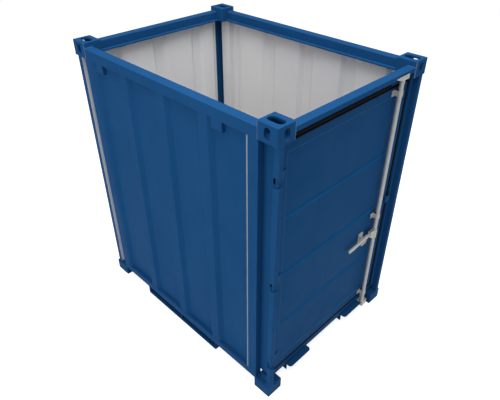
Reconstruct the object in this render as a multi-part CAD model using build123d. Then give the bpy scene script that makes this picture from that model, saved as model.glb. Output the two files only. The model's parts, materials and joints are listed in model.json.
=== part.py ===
from build123d import *
import math
import os

# A small steel storage container with one hinged door, open on top.
# Millimetres. Origin at the middle of the footprint, on the ground, +Z up.
# The door end faces -Y, the hinge side of the door faces -X.

# Overall size
WIDTH = 1600.0
LENGTH = 2200.0
HEIGHT = 2438.0

# Corner castings and feet
CAST_X = 151.0
CAST_Y = 165.0
CAST_H = 120.0
FOOT_H = 105.0
CAST_WALL = 16.0
CAST_EDGE = 6.0
LOCK_SLOT_L = 124.0
LOCK_SLOT_W = 63.5
SIDE_HOLE_H = 79.0
SIDE_HOLE_W = 51.0

# Top rails, a box section with an inner lip
RAIL_TOP_DROP = 42.0
RAIL_W = 78.0
RAIL_LIP = 26.0
RAIL_LIP_T = 12.0
RAIL_T = 5.0

# Header over the door
HEADER_V = 5.0
HEADER_D = 70.0
HEADER_FACE_H = 46.0
HEADER_WEB_V = 50.0

# Bottom rails and sill
BASE_RAIL_BOTTOM = 107.0
BASE_RAIL_H = 65.0
BASE_RAIL_W = 60.0
SILL_V = 66.0

# Corner posts: a corner tube, a recessed web and a side flange
POST_T = 5.0
TUBE_U = 20.0
TUBE_W = 40.0
TUBE_D = 52.0
TUBE_T = 4.0
TUBE_R = 9.0
WEB_U = 53.0
GROOVE_V = 150.0
FLANGE_V = 235.0
STOP_REACH = 57.0
JAMB_STOP = 20.0
REAR_FACE_U = 107.0

# Walls of ribbed sheet
SHEET_T = 2.0
RIB_DEPTH = 28.0
RIB_PROUD = 2.0
RIB_FACE = 86.0
RIB_SLOPE = 38.0
RIB_PITCH = 446.0
SIDE_RIB_SHIFT = -14.0
REAR_RIB_PITCH = 440.0
END_FLANGE = 20.0

# Floor
FLOOR_T = 24.0
FLOOR_GAP = 2.0
CROSS_W = 50.0
CROSS_COUNT = 4

# Fork pockets under the floor
POCKET_T = 5.0
POCKET_BOTTOM = 20.0
SIDE_POCKET_NEAR = -452.0
SIDE_POCKET_MID = 33.0
SIDE_POCKET_FAR = 540.0
END_PLATE_INNER = 248.0
END_PLATE_OUTER = 518.0
END_WALL_INSET = 9.0
END_PLATE_V = 13.0
END_PLATE_R = 28.0

# Ventilation covers
VENT_W = 98.0
VENT_H = 75.0
VENT_FRONT_Y = -592.0
VENT_REAR_Y = 756.0
VENT_EDGE = 7.0

# Door
DOOR_V = 57.0
DOOR_T = 40.0
DOOR_BOTTOM = 211.0
DOOR_TOP = 2274.0
DOOR_LEFT_GAP = 10.0
DOOR_RIGHT = 671.0
DOOR_STILE = 87.0
DOOR_STILE_LOCK = 67.0
DOOR_TOP_RAIL = 63.0
DOOR_BOTTOM_RAIL = 77.0
DOOR_TUBE_T = 3.0
PANEL_SET_BACK = 5.0
SWAGE_H = 46.0
SWAGE_D = 11.0
SWAGE_FLAT = 14.0
SWAGE_PITCH = 507.5
SWAGE_FIRST = 707.0
SEAL_W = 31.0
SEAL_LEFT = 6.0
SEAL_BOTTOM = 23.0
SEAL_D = 16.0
SEAL_GAP = 1.0
STOP_GAP = 4.0

# Hinges
HINGE_BOTTOM = (326.0, 1178.0, 2030.0)
NOTCH_H = 125.0
NOTCH_BACK = 20.0
PIN_D = 20.0
PIN_BITE = 14.0
KNUCKLE_D = 42.0
KNUCKLE_H = 55.0
KNUCKLE_DROP = 5.0
BORE_CLEAR = 0.1
LEAF_T = 9.0
LEAF_REACH = 75.0

# Locking bar
BAR_X = 523.0
BAR_V = 22.0
BAR_D = 34.0
BAR_WALL = 4.0
BAR_TOP = 2336.0
BAR_BOTTOM = 118.0
CAM_SHIFT = 4.0
CAM_R = 18.0
CAM_H = 26.0
GUIDE_Z = (243.0, 1145.0, 2238.0)
GUIDE_W = 104.0
GUIDE_H = 44.0
GUIDE_T = 4.0
GUIDE_CLEAR = 0.4
BUSH_PROUD = 2.0

# Keepers
TOP_KEEPER_LEFT = 412.0
TOP_KEEPER_RIGHT = 575.0
TOP_KEEPER_TOP = 2376.0
TOP_KEEPER_BOTTOM = 2342.0
LOW_KEEPER_LEFT = 520.0
LOW_KEEPER_LIP = 15.0
LOW_KEEPER_RIGHT = 587.0
LOW_KEEPER_V = 8.0
LOW_KEEPER_TOP = 113.0
LOW_KEEPER_H = 57.0
KEEPER_T = 6.0

# Handle
HANDLE_Z = 975.0
HANDLE_END_X = 152.0
HANDLE_PIN_X = 462.0
HANDLE_T = 12.0
HANDLE_H = 30.0
HANDLE_PIN_D = 12.0
HUB_H = 84.0
HUB_NOSE_H = 50.0
HUB_T = 32.0
HUB_NOSE = 20.0
HUB_COLLAR_T = 4.5
CHEEK_CLEAR = 1.0
REST_LEFT = 298.0
REST_MID = 370.0
REST_RIGHT = 442.0
REST_TOP = 1062.0
REST_LOW = 882.0
REST_T = 5.0
REST_GAP = 5.0

# Lug on the door that laps over the seal at the lock post
LUG_X = (641.0, 706.0)
LUG_Z = (1206.0, 1264.0)
LUG_T = 7.0
LUG_CLEAR = 5.0

# Values that follow from the ones above
HALF_W = WIDTH / 2
HALF_L = LENGTH / 2
CAST_BOTTOM = HEIGHT - CAST_H
RAIL_TOP = HEIGHT - RAIL_TOP_DROP
RAIL_H = RAIL_TOP - CAST_BOTTOM
BASE_RAIL_TOP = BASE_RAIL_BOTTOM + BASE_RAIL_H
WEB_IN = WEB_U + POST_T
WALL_SPAN = LENGTH - 2 * FLANGE_V
REAR_SPAN = WIDTH - 2 * REAR_FACE_U
DOOR_LEFT = -HALF_W + WEB_IN + DOOR_LEFT_GAP
DOOR_FACE = -HALF_L + DOOR_V
DOOR_BACK = DOOR_FACE + DOOR_T
DOOR_Y = (DOOR_FACE, DOOR_BACK)
STOP_V = DOOR_V + DOOR_T + STOP_GAP
PIN_X = -HALF_W + TUBE_U + TUBE_W / 2
PIN_Y = -HALF_L + TUBE_D / 2
BAR_Y = -HALF_L + BAR_V
JAMB_X = DOOR_RIGHT + SEAL_W + SEAL_GAP
HEAD_Z = DOOR_TOP + SEAL_W + SEAL_GAP
FLOOR_TOP = BASE_RAIL_TOP


def box(x, y, z):
    """A block between two values on each axis."""
    size = (x[1] - x[0], y[1] - y[0], z[1] - z[0])
    middle = ((x[0] + x[1]) / 2, (y[0] + y[1]) / 2, (z[0] + z[1]) / 2)
    return Pos(*middle) * Box(*size)


def folded(points, thickness):
    """The section of a folded plate: a line of points, made thick to its left."""
    count = len(points)
    normals = []
    for (x0, y0), (x1, y1) in zip(points, points[1:]):
        run = math.hypot(x1 - x0, y1 - y0)
        normals.append(((y0 - y1) / run, (x1 - x0) / run))
    inner = []
    for i in range(count):
        a = normals[max(i - 1, 0)]
        b = normals[min(i, count - 2)]
        scale = thickness / (1 + a[0] * b[0] + a[1] * b[1])
        inner.append((points[i][0] + scale * (a[0] + b[0]), points[i][1] + scale * (a[1] + b[1])))
    return make_face(Polyline(*points, *reversed(inner), close=True))


def upright(section, bottom, top):
    """Extrude a plan section between two heights."""
    return Pos(0, 0, bottom) * extrude(section, amount=top - bottom, dir=(0, 0, 1))


def along_y(section, start, end):
    """Extrude a section drawn in X and Z along Y."""
    return Pos(0, start, 0) * extrude(Plane.XZ * section, amount=end - start, dir=(0, 1, 0))


def along_x(section, start, end):
    """Extrude a section drawn in Y and Z along X."""
    return Pos(start, 0, 0) * extrude(Plane.YZ * section, amount=end - start, dir=(1, 0, 0))


def mirrored_x(shape):
    return mirror(shape, about=Plane.YZ)


def mirrored_y(shape):
    return mirror(shape, about=Plane.XZ)


def at(u, v):
    """A plan point from its distances in from the -X side and the -Y end."""
    return (-HALF_W + u, -HALF_L + v)


def corner_block(height):
    """A hollow corner block at the -X -Y corner, standing on z = 0, with a lock slot in its top."""
    x = (-HALF_W, -HALF_W + CAST_X)
    y = (-HALF_L, -HALF_L + CAST_Y)
    block = box(x, y, (0, height))
    block = fillet(block.edges().filter_by(Axis.Z), CAST_EDGE)
    block = fillet(block.faces().sort_by(Axis.Z)[-1].edges(), CAST_EDGE / 2)
    hollow = box((x[0] + CAST_WALL, x[1] - CAST_WALL), (y[0] + CAST_WALL, y[1] - CAST_WALL),
                 (CAST_WALL, height - CAST_WALL))
    slot = extrude(SlotOverall(LOCK_SLOT_L, LOCK_SLOT_W, 90), amount=CAST_WALL * 1.5, both=True)
    return block - hollow - Pos(sum(x) / 2, sum(y) / 2, height) * slot


def corner_casting():
    """Top casting: the lock slot above, and an upright oval hole in each outer side."""
    block = corner_block(CAST_H)
    oval = SlotOverall(SIDE_HOLE_H, SIDE_HOLE_W, 90)
    end_hole = extrude(Plane.XZ * oval, amount=CAST_WALL * 1.5, both=True)
    side_hole = extrude(Plane.YZ * oval, amount=CAST_WALL * 1.5, both=True)
    block = block - Pos(-HALF_W + CAST_X / 2, -HALF_L, CAST_H / 2) * end_hole
    block = block - Pos(-HALF_W, -HALF_L + CAST_Y / 2, CAST_H / 2) * side_hole
    return Pos(0, 0, CAST_BOTTOM) * block


def corner_foot():
    """The foot has its lock slot underneath and plain sides."""
    return Pos(0, 0, FOOT_H) * mirror(corner_block(FOOT_H), about=Plane.XY)


def post_body():
    """Corner tube with the recessed web and side flange of a door post, at the -X -Y corner."""
    middle = at(TUBE_U + TUBE_W / 2, TUBE_D / 2)
    outer = RectangleRounded(TUBE_W, TUBE_D, TUBE_R)
    inner = RectangleRounded(TUBE_W - 2 * TUBE_T, TUBE_D - 2 * TUBE_T, TUBE_R - TUBE_T)
    tube = Pos(*middle) * (outer - inner)
    groove = folded([at(WEB_U, TUBE_D - TUBE_T), at(WEB_U, GROOVE_V), at(0, GROOVE_V), at(0, FLANGE_V)], -POST_T)
    post = upright(tube, FOOT_H, CAST_BOTTOM) + upright(groove, FOOT_H, CAST_BOTTOM)
    return post - rail_seat()


def rail_seat():
    """The space where the bottom rail stands below the post's side flange."""
    return box((-HALF_W - 1, -HALF_W + BASE_RAIL_W), (-HALF_L + CAST_Y, -HALF_L + FLANGE_V + 1),
               (FOOT_H - 1, BASE_RAIL_TOP))


def hinge_post():
    """Front left post, notched for the three hinges, with the plate that the door stops in front of."""
    stop = folded([at(WEB_IN - 2, STOP_V), at(WEB_IN + STOP_REACH, STOP_V)], POST_T)
    post = post_body() + upright(stop, BASE_RAIL_TOP, CAST_BOTTOM)
    middle = at(TUBE_U + TUBE_W / 2, TUBE_D / 2)
    cap = Pos(*middle) * RectangleRounded(TUBE_W, TUBE_D, TUBE_R)
    for low in HINGE_BOTTOM:
        high = low + NOTCH_H
        post = post - box((-HALF_W, -HALF_W + TUBE_U + TUBE_W + 1), (-HALF_L - 1, -HALF_L + TUBE_D + NOTCH_BACK),
                          (low, high))
        post = post + upright(cap, low - TUBE_T, low) + upright(cap, high, high + TUBE_T)
        post = post - Pos(PIN_X, PIN_Y, low + NOTCH_H / 2) * Cylinder(PIN_D / 2, NOTCH_H + 3 * PIN_BITE)
    return post


def lock_post():
    """Front right post, with the jamb that the door seal closes against."""
    jamb_u = HALF_W - JAMB_X
    front_v = TUBE_D - POST_T
    points = [at(WEB_IN - 1, front_v), at(jamb_u, front_v), at(jamb_u, STOP_V), at(jamb_u + JAMB_STOP, STOP_V)]
    jamb = upright(folded(points, POST_T), BASE_RAIL_TOP, CAST_BOTTOM)
    return mirrored_x(post_body() + jamb)


def rear_post():
    """Rear left post: one plate folded round the corner, with the same groove in its side."""
    points = [at(REAR_FACE_U, 0), at(TUBE_U, 0), at(TUBE_U, TUBE_D), at(WEB_U, TUBE_D),
              at(WEB_U, GROOVE_V), at(0, GROOVE_V), at(0, FLANGE_V)]
    post = upright(folded(points, -POST_T), FOOT_H, CAST_BOTTOM)
    return mirrored_y(post - rail_seat())


def top_rail_section():
    """Box rail with an inner lip: outer face on x = 0, top on z = 0."""
    lip_top = -RAIL_H + RAIL_LIP_T
    points = [(0, 0), (RAIL_W, 0), (RAIL_W, lip_top), (RAIL_W + RAIL_LIP, lip_top),
              (RAIL_W + RAIL_LIP, -RAIL_H), (0, -RAIL_H)]
    outer = make_face(Polyline(*points, close=True))
    hollow = Pos(RAIL_W / 2, -RAIL_H / 2) * Rectangle(RAIL_W - 2 * RAIL_T, RAIL_H - 2 * RAIL_T)
    return outer - hollow


def top_rail_left():
    section = Pos(-HALF_W, RAIL_TOP) * top_rail_section()
    reach = HALF_L - CAST_Y
    return along_y(section, -reach, reach)


def top_rail_rear():
    section = Pos(-HALF_L, RAIL_TOP) * top_rail_section()
    reach = HALF_W - CAST_X
    return mirrored_y(along_x(section, -reach, reach))


def header():
    """Beam over the door: a face band, a step back and a lower web above the seal."""
    y = (-HALF_L + HEADER_V, -HALF_L + HEADER_WEB_V, -HALF_L + HEADER_V + HEADER_D)
    face_z = RAIL_TOP - HEADER_FACE_H
    points = [(y[0], RAIL_TOP), (y[2], RAIL_TOP), (y[2], HEAD_Z), (y[1], HEAD_Z), (y[1], face_z), (y[0], face_z)]
    outer = make_face(Polyline(*points, close=True))
    reach = HALF_W - CAST_X
    beam = along_x(outer - offset(outer, -RAIL_T), -reach, reach)
    strip = box((-HALF_W + WEB_IN, JAMB_X), (y[1], y[1] + RAIL_T), (HEAD_Z, CAST_BOTTOM))
    return beam + strip


def base_rail_section():
    """Channel of a bottom rail, open inwards: outer face on x = 0, bottom on z = 0."""
    points = [(BASE_RAIL_W, 0), (0, 0), (0, BASE_RAIL_H), (BASE_RAIL_W, BASE_RAIL_H)]
    return folded(points, -POST_T)


def bottom_rail_left():
    section = Pos(-HALF_W, BASE_RAIL_BOTTOM) * base_rail_section()
    reach = HALF_L - CAST_Y
    return along_y(section, -reach, reach)


def front_sill():
    """Door sill with an upstand under the door seal."""
    face = -HALF_L + SILL_V
    section = Pos(face, BASE_RAIL_BOTTOM) * base_rail_section()
    reach = HALF_W - WEB_IN
    upstand_top = DOOR_BOTTOM - SEAL_BOTTOM - SEAL_GAP
    upstand = box((-reach, JAMB_X), (face, face + POST_T), (BASE_RAIL_TOP - POST_T, upstand_top))
    return along_x(section, -reach, reach) + upstand


def rear_sill():
    section = Pos(-HALF_L, BASE_RAIL_BOTTOM) * base_rail_section()
    reach = HALF_W - REAR_FACE_U
    return mirrored_y(along_x(section, -reach, reach))


def ribbed_sheet(span, rib_centres):
    """Section of a wall sheet along X: rib faces on y = 0, flats behind them, thick towards +Y."""
    half = span / 2
    flat = half - END_FLANGE - RIB_SLOPE
    points = [(-half, 0), (-half + END_FLANGE, 0), (-flat, RIB_DEPTH)]
    for c in rib_centres:
        points += [(c - RIB_FACE / 2 - RIB_SLOPE, RIB_DEPTH), (c - RIB_FACE / 2, 0),
                   (c + RIB_FACE / 2, 0), (c + RIB_FACE / 2 + RIB_SLOPE, RIB_DEPTH)]
    points += [(flat, RIB_DEPTH), (half - END_FLANGE, 0), (half, 0)]
    return folded(points, SHEET_T)


def side_wall():
    """Left wall sheet, between the bottom rail and the top rail."""
    ribs = [i * RIB_PITCH - SIDE_RIB_SHIFT for i in (-1, 0, 1)]
    section = Pos(-HALF_W + RIB_PROUD, 0) * (Rot(0, 0, -90) * ribbed_sheet(WALL_SPAN, ribs))
    return upright(section, BASE_RAIL_TOP, CAST_BOTTOM)


def rear_wall():
    ribs = [i * REAR_RIB_PITCH for i in (-1, 0, 1)]
    section = Pos(0, HALF_L - RIB_PROUD) * (Rot(0, 0, 180) * ribbed_sheet(REAR_SPAN, ribs))
    return upright(section, BASE_RAIL_TOP, CAST_BOTTOM)


def floor_boards():
    x = HALF_W - BASE_RAIL_W - FLOOR_GAP
    front = -HALF_L + SILL_V + BASE_RAIL_W + FLOOR_GAP
    rear = HALF_L - BASE_RAIL_W - FLOOR_GAP
    return box((-x, x), (front, rear), (FLOOR_TOP - FLOOR_T, FLOOR_TOP))


def cross_members():
    """Channels that carry the floor between the bottom rails."""
    x = HALF_W - POST_T
    low = BASE_RAIL_BOTTOM + POST_T
    high = FLOOR_TOP - FLOOR_T
    first = -HALF_L + CAST_Y + CROSS_W
    step = -2 * first / (CROSS_COUNT - 1)
    members = []
    for i in range(CROSS_COUNT):
        y = first + i * step
        channel = folded([(y - CROSS_W / 2, low), (y - CROSS_W / 2, high), (y + CROSS_W / 2, high),
                          (y + CROSS_W / 2, low)], -POST_T)
        members.append(along_x(channel, -x, x))
    return Compound(children=members)


def side_fork_pockets():
    """Two cross tunnels: a bottom plate and three upright walls, open at both sides."""
    x = (-HALF_W, HALF_W)
    z = (POCKET_BOTTOM, BASE_RAIL_BOTTOM)
    body = box(x, (SIDE_POCKET_NEAR, SIDE_POCKET_FAR), (z[0], z[0] + POCKET_T))
    for y in (SIDE_POCKET_NEAR, SIDE_POCKET_MID - POCKET_T / 2, SIDE_POCKET_FAR - POCKET_T):
        body = body + box(x, (y, y + POCKET_T), z)
    return body


def end_fork_channel(pocket_end):
    """One end fork entry: a cover plate with rounded outer corners, standing on two walls."""
    x = (-END_PLATE_OUTER, -END_PLATE_INNER)
    plate = box(x, (-HALF_L + END_PLATE_V, pocket_end), (BASE_RAIL_BOTTOM - POCKET_T, BASE_RAIL_BOTTOM))
    plate = fillet(plate.edges().filter_by(Axis.Z).group_by(Axis.Y)[0], END_PLATE_R)
    for wall_x in (x[0] + END_WALL_INSET, x[1] - END_WALL_INSET - POCKET_T):
        plate = plate + box((wall_x, wall_x + POCKET_T), (-HALF_L + SILL_V, pocket_end),
                            (POCKET_BOTTOM, BASE_RAIL_BOTTOM - POCKET_T))
    return plate


def end_fork_channels():
    front = end_fork_channel(SIDE_POCKET_NEAR)
    rear = mirrored_y(end_fork_channel(-SIDE_POCKET_FAR))
    return Compound(children=[front, mirrored_x(front), rear, mirrored_x(rear)])


def vent_cover(y):
    """A folded hood over the ventilation holes, on the flat of the left wall below the top rail."""
    x = (-HALF_W + RIB_PROUD, -HALF_W + RIB_PROUD + RIB_DEPTH)
    hood = box(x, (y - VENT_W / 2, y + VENT_W / 2), (CAST_BOTTOM - VENT_H, CAST_BOTTOM))
    lower_edge = hood.faces().sort_by(Axis.X)[0].edges().sort_by(Axis.Z)[0]
    return chamfer(lower_edge, VENT_EDGE)


def vent_covers():
    left = [vent_cover(VENT_FRONT_Y), vent_cover(VENT_REAR_Y)]
    return Compound(children=left + [mirrored_x(cover) for cover in left])


def door_tube(x, z):
    """A closed rectangular tube of the door frame."""
    t = DOOR_TUBE_T
    inside = box((x[0] + t, x[1] - t), (DOOR_Y[0] + t, DOOR_Y[1] - t), (z[0] + t, z[1] - t))
    return box(x, DOOR_Y, z) - inside


def door_stile_left():
    return door_tube((DOOR_LEFT, DOOR_LEFT + DOOR_STILE), (DOOR_BOTTOM, DOOR_TOP))


def door_stile_right():
    """Lock side stile with a lug that laps over the seal."""
    stile = door_tube((DOOR_RIGHT - DOOR_STILE_LOCK, DOOR_RIGHT), (DOOR_BOTTOM, DOOR_TOP))
    plate_back = -HALF_L + TUBE_D - POST_T - LUG_CLEAR
    lug = box(LUG_X, (plate_back - LUG_T, plate_back), LUG_Z)
    spacer = box((LUG_X[0], DOOR_RIGHT - DOOR_TUBE_T), (plate_back, DOOR_FACE), LUG_Z)
    return stile + lug + spacer


def door_rail_top():
    return door_tube((DOOR_LEFT + DOOR_STILE, DOOR_RIGHT - DOOR_STILE_LOCK), (DOOR_TOP - DOOR_TOP_RAIL, DOOR_TOP))


def door_rail_bottom():
    return door_tube((DOOR_LEFT + DOOR_STILE, DOOR_RIGHT - DOOR_STILE_LOCK),
                     (DOOR_BOTTOM, DOOR_BOTTOM + DOOR_BOTTOM_RAIL))


def door_panel():
    """Door sheet with three pressed swages across it."""
    y = DOOR_FACE + PANEL_SET_BACK
    points = [(y, DOOR_BOTTOM + DOOR_BOTTOM_RAIL)]
    for i in range(3):
        c = SWAGE_FIRST + i * SWAGE_PITCH
        points += [(y, c - SWAGE_H / 2), (y + SWAGE_D, c - SWAGE_FLAT / 2),
                   (y + SWAGE_D, c + SWAGE_FLAT / 2), (y, c + SWAGE_H / 2)]
    points.append((y, DOOR_TOP - DOOR_TOP_RAIL))
    return along_x(folded(points, -SHEET_T), DOOR_LEFT + DOOR_STILE, DOOR_RIGHT - DOOR_STILE_LOCK)


def door_seal():
    """Rubber seal all round the edge of the door."""
    y = (DOOR_FACE, DOOR_FACE + SEAL_D)
    outer = box((DOOR_LEFT - SEAL_LEFT, DOOR_RIGHT + SEAL_W), y, (DOOR_BOTTOM - SEAL_BOTTOM, DOOR_TOP + SEAL_W))
    return outer - box((DOOR_LEFT, DOOR_RIGHT), y, (DOOR_BOTTOM, DOOR_TOP))


def hinge_leaves():
    """Knuckle and blade of each hinge, on the door."""
    radius = KNUCKLE_D / 2
    back = PIN_Y + radius
    blade = make_face(Polyline((PIN_X, back - LEAF_T), (PIN_X, back), (DOOR_LEFT - 6, back), (DOOR_LEFT, DOOR_FACE),
                               (DOOR_LEFT + LEAF_REACH, DOOR_FACE), (DOOR_LEFT + LEAF_REACH, DOOR_FACE - LEAF_T),
                               (DOOR_LEFT + 6, DOOR_FACE - LEAF_T), (DOOR_LEFT, back - LEAF_T), close=True))
    section = Pos(PIN_X, PIN_Y) * Circle(radius) + blade
    section = section - Pos(PIN_X, PIN_Y) * Circle(PIN_D / 2 + BORE_CLEAR)
    leaves = []
    for low in HINGE_BOTTOM:
        top = low + NOTCH_H - KNUCKLE_DROP
        leaves.append(upright(section, top - KNUCKLE_H, top))
    return Compound(children=leaves)


def hinge_pins():
    pins = []
    for low in HINGE_BOTTOM:
        pins.append(Pos(PIN_X, PIN_Y, low + NOTCH_H / 2) * Cylinder(PIN_D / 2, NOTCH_H + 2 * PIN_BITE))
    return Compound(children=pins)


def locking_bar():
    """Vertical tube with a solid eccentric end at top and bottom."""
    tube = Circle(BAR_D / 2) - Circle(BAR_D / 2 - BAR_WALL)
    bar = upright(Pos(BAR_X, BAR_Y) * tube, BAR_BOTTOM, BAR_TOP)
    for low in (BAR_BOTTOM, BAR_TOP - CAM_H):
        bar = bar + upright(Pos(BAR_X, BAR_Y) * Circle(BAR_D / 2), low, low + CAM_H)
        bar = bar + upright(Pos(BAR_X + CAM_SHIFT, BAR_Y) * Circle(CAM_R), low, low + CAM_H)
    return bar


def handle_hub():
    """Clevis on the bar: two cheeks on a collar, with the pin of the handle."""
    z = (HANDLE_Z - HUB_H / 2, HANDLE_Z + HUB_H / 2)
    root_x = BAR_X - BAR_D / 2 - HUB_COLLAR_T / 2
    nose_x = HANDLE_PIN_X - HUB_NOSE
    outline = make_face(Polyline((root_x, z[0]), (root_x, z[1]), (HANDLE_PIN_X, HANDLE_Z + HUB_NOSE_H / 2),
                                 (nose_x, HANDLE_Z + HUB_NOSE_H / 4), (nose_x, HANDLE_Z - HUB_NOSE_H / 4),
                                 (HANDLE_PIN_X, HANDLE_Z - HUB_NOSE_H / 2), close=True))
    cheeks = Pos(0, BAR_Y, 0) * extrude(Plane.XZ * outline, amount=HUB_T / 2, both=True)
    gap = HANDLE_T / 2 + CHEEK_CLEAR
    slot = box((nose_x - 1, BAR_X - BAR_D / 2 - HUB_COLLAR_T), (BAR_Y - gap, BAR_Y + gap), (z[0] - 1, z[1] + 1))
    collar = upright(Pos(BAR_X, BAR_Y) * Circle(BAR_D / 2 + HUB_COLLAR_T), *z)
    hub = collar + (cheeks - slot) - upright(Pos(BAR_X, BAR_Y) * Circle(BAR_D / 2), *z)
    pin = Pos(HANDLE_PIN_X, BAR_Y, HANDLE_Z) * Rot(90, 0, 0) * Cylinder(HANDLE_PIN_D / 2, HUB_T)
    return hub + pin


def door_handle():
    """Flat lever on the hub's pin, lying across the door."""
    half = HANDLE_H / 2
    span = HANDLE_PIN_X - HANDLE_END_X
    outline = Pos((HANDLE_PIN_X + HANDLE_END_X) / 2, HANDLE_Z) * SlotOverall(span + half, HANDLE_H)
    outline = Pos(half / 2, 0) * outline
    outline = outline - Pos(HANDLE_PIN_X, HANDLE_Z) * Circle(HANDLE_PIN_D / 2 + BORE_CLEAR)
    return Pos(0, BAR_Y, 0) * extrude(Plane.XZ * outline, amount=HANDLE_T / 2, both=True)


def handle_rest():
    """Bracket on the door sheet: a tall tab behind the handle and a shelf under it, open to the front."""
    back = DOOR_FACE + PANEL_SET_BACK
    y = (back - REST_T, back)
    shelf_top = HANDLE_Z - HANDLE_H / 2 - REST_GAP
    tab = box((REST_LEFT, REST_MID), y, (shelf_top - REST_T, REST_TOP))
    tab = fillet(tab.edges().filter_by(Axis.Y).group_by(Axis.Z)[-1], (REST_MID - REST_LEFT) / 4)
    lug = box((REST_MID, REST_RIGHT), y, (REST_LOW, shelf_top))
    shelf = box((REST_MID, REST_RIGHT), (BAR_Y - HANDLE_T / 2, y[0]), (shelf_top - REST_T, shelf_top))
    return tab + lug + shelf


def guide_frame():
    """Plan of the space inside a bar guide: as wide as the bar, from the door to the bar's front."""
    width = BAR_D + 2 * GUIDE_CLEAR
    front = BAR_Y
    back = DOOR_FACE - GUIDE_T
    return Pos(BAR_X, (front + back) / 2) * Rectangle(width, back - front) + Pos(BAR_X, BAR_Y) * Circle(width / 2)


def bar_guides():
    """Straps bent round the bar, each with a foot on both sides."""
    inside = guide_frame()
    outside = offset(inside, GUIDE_T)
    foot = Pos(BAR_X, DOOR_FACE - GUIDE_T / 2) * Rectangle(GUIDE_W, GUIDE_T)
    behind = Pos(BAR_X, DOOR_FACE + GUIDE_W / 2) * Rectangle(2 * GUIDE_W, GUIDE_W)
    section = (outside - inside) + foot - behind
    return Compound(children=[upright(section, z - GUIDE_H / 2, z + GUIDE_H / 2) for z in GUIDE_Z])


def bar_bushings():
    """Plastic blocks behind the bar, inside the guides."""
    section = guide_frame() - Pos(BAR_X, BAR_Y) * Circle(BAR_D / 2 + GUIDE_CLEAR)
    return Compound(children=[upright(section, z - GUIDE_H / 2, z + GUIDE_H / 2 + BUSH_PROUD) for z in GUIDE_Z])


def top_keeper():
    """Keeper plate on the header's face, above the end of the bar."""
    top = TOP_KEEPER_TOP
    low = TOP_KEEPER_BOTTOM
    left = TOP_KEEPER_LEFT
    right = TOP_KEEPER_RIGHT
    waist = (left + right) / 2
    outline = make_face(Polyline((left, top), (right, top), (right, low), (waist, low), (left, top - KEEPER_T),
                                 close=True))
    return Pos(0, -HALF_L + HEADER_V, 0) * extrude(Plane.XZ * outline, amount=HEADER_V)


def low_keeper():
    """Keeper box on the sill's face, below the end of the bar."""
    x = (LOW_KEEPER_LEFT, LOW_KEEPER_RIGHT)
    y = (-HALF_L + LOW_KEEPER_V, -HALF_L + SILL_V)
    z = (LOW_KEEPER_TOP - LOW_KEEPER_H, LOW_KEEPER_TOP)
    t = KEEPER_T
    body = box(x, y, z) - box((x[0] + t, x[1] - t), (y[0] + t, y[1] - t), (z[0] - 1, z[1] - t))
    lip = box((x[0] - LOW_KEEPER_LIP, x[0]), y, (z[1] - t, z[1]))
    back = box((x[0] - LOW_KEEPER_LIP, x[1]), (y[1] - t, y[1]), (z[1] - t, BASE_RAIL_TOP))
    return body + lip + back


def build():
    casting = corner_casting()
    foot = corner_foot()
    post = rear_post()
    rail = top_rail_left()
    base = bottom_rail_left()
    wall = side_wall()
    return {
        "casting_front_left": casting,
        "casting_front_right": mirrored_x(casting),
        "casting_rear_left": mirrored_y(casting),
        "casting_rear_right": mirrored_x(mirrored_y(casting)),
        "foot_front_left": foot,
        "foot_front_right": mirrored_x(foot),
        "foot_rear_left": mirrored_y(foot),
        "foot_rear_right": mirrored_x(mirrored_y(foot)),
        "hinge_post": hinge_post(),
        "lock_post": lock_post(),
        "rear_post_left": post,
        "rear_post_right": mirrored_x(post),
        "top_rail_left": rail,
        "top_rail_right": mirrored_x(rail),
        "top_rail_rear": top_rail_rear(),
        "header": header(),
        "bottom_rail_left": base,
        "bottom_rail_right": mirrored_x(base),
        "front_sill": front_sill(),
        "rear_sill": rear_sill(),
        "side_wall_left": wall,
        "side_wall_right": mirrored_x(wall),
        "rear_wall": rear_wall(),
        "floor_boards": floor_boards(),
        "cross_members": cross_members(),
        "side_fork_pockets": side_fork_pockets(),
        "end_fork_channels": end_fork_channels(),
        "vent_covers": vent_covers(),
        "hinge_pins": hinge_pins(),
        "top_keeper": top_keeper(),
        "low_keeper": low_keeper(),
        "door_stile_left": door_stile_left(),
        "door_stile_right": door_stile_right(),
        "door_rail_top": door_rail_top(),
        "door_rail_bottom": door_rail_bottom(),
        "door_panel": door_panel(),
        "door_seal": door_seal(),
        "hinge_leaves": hinge_leaves(),
        "bar_guides": bar_guides(),
        "bar_bushings": bar_bushings(),
        "handle_rest": handle_rest(),
        "locking_bar": locking_bar(),
        "handle_hub": handle_hub(),
        "door_handle": door_handle(),
    }


os.makedirs("parts", exist_ok=True)
for name, shape in build().items():
    export_step(shape, f"parts/{name}.step")
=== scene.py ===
import json
import math

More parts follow.
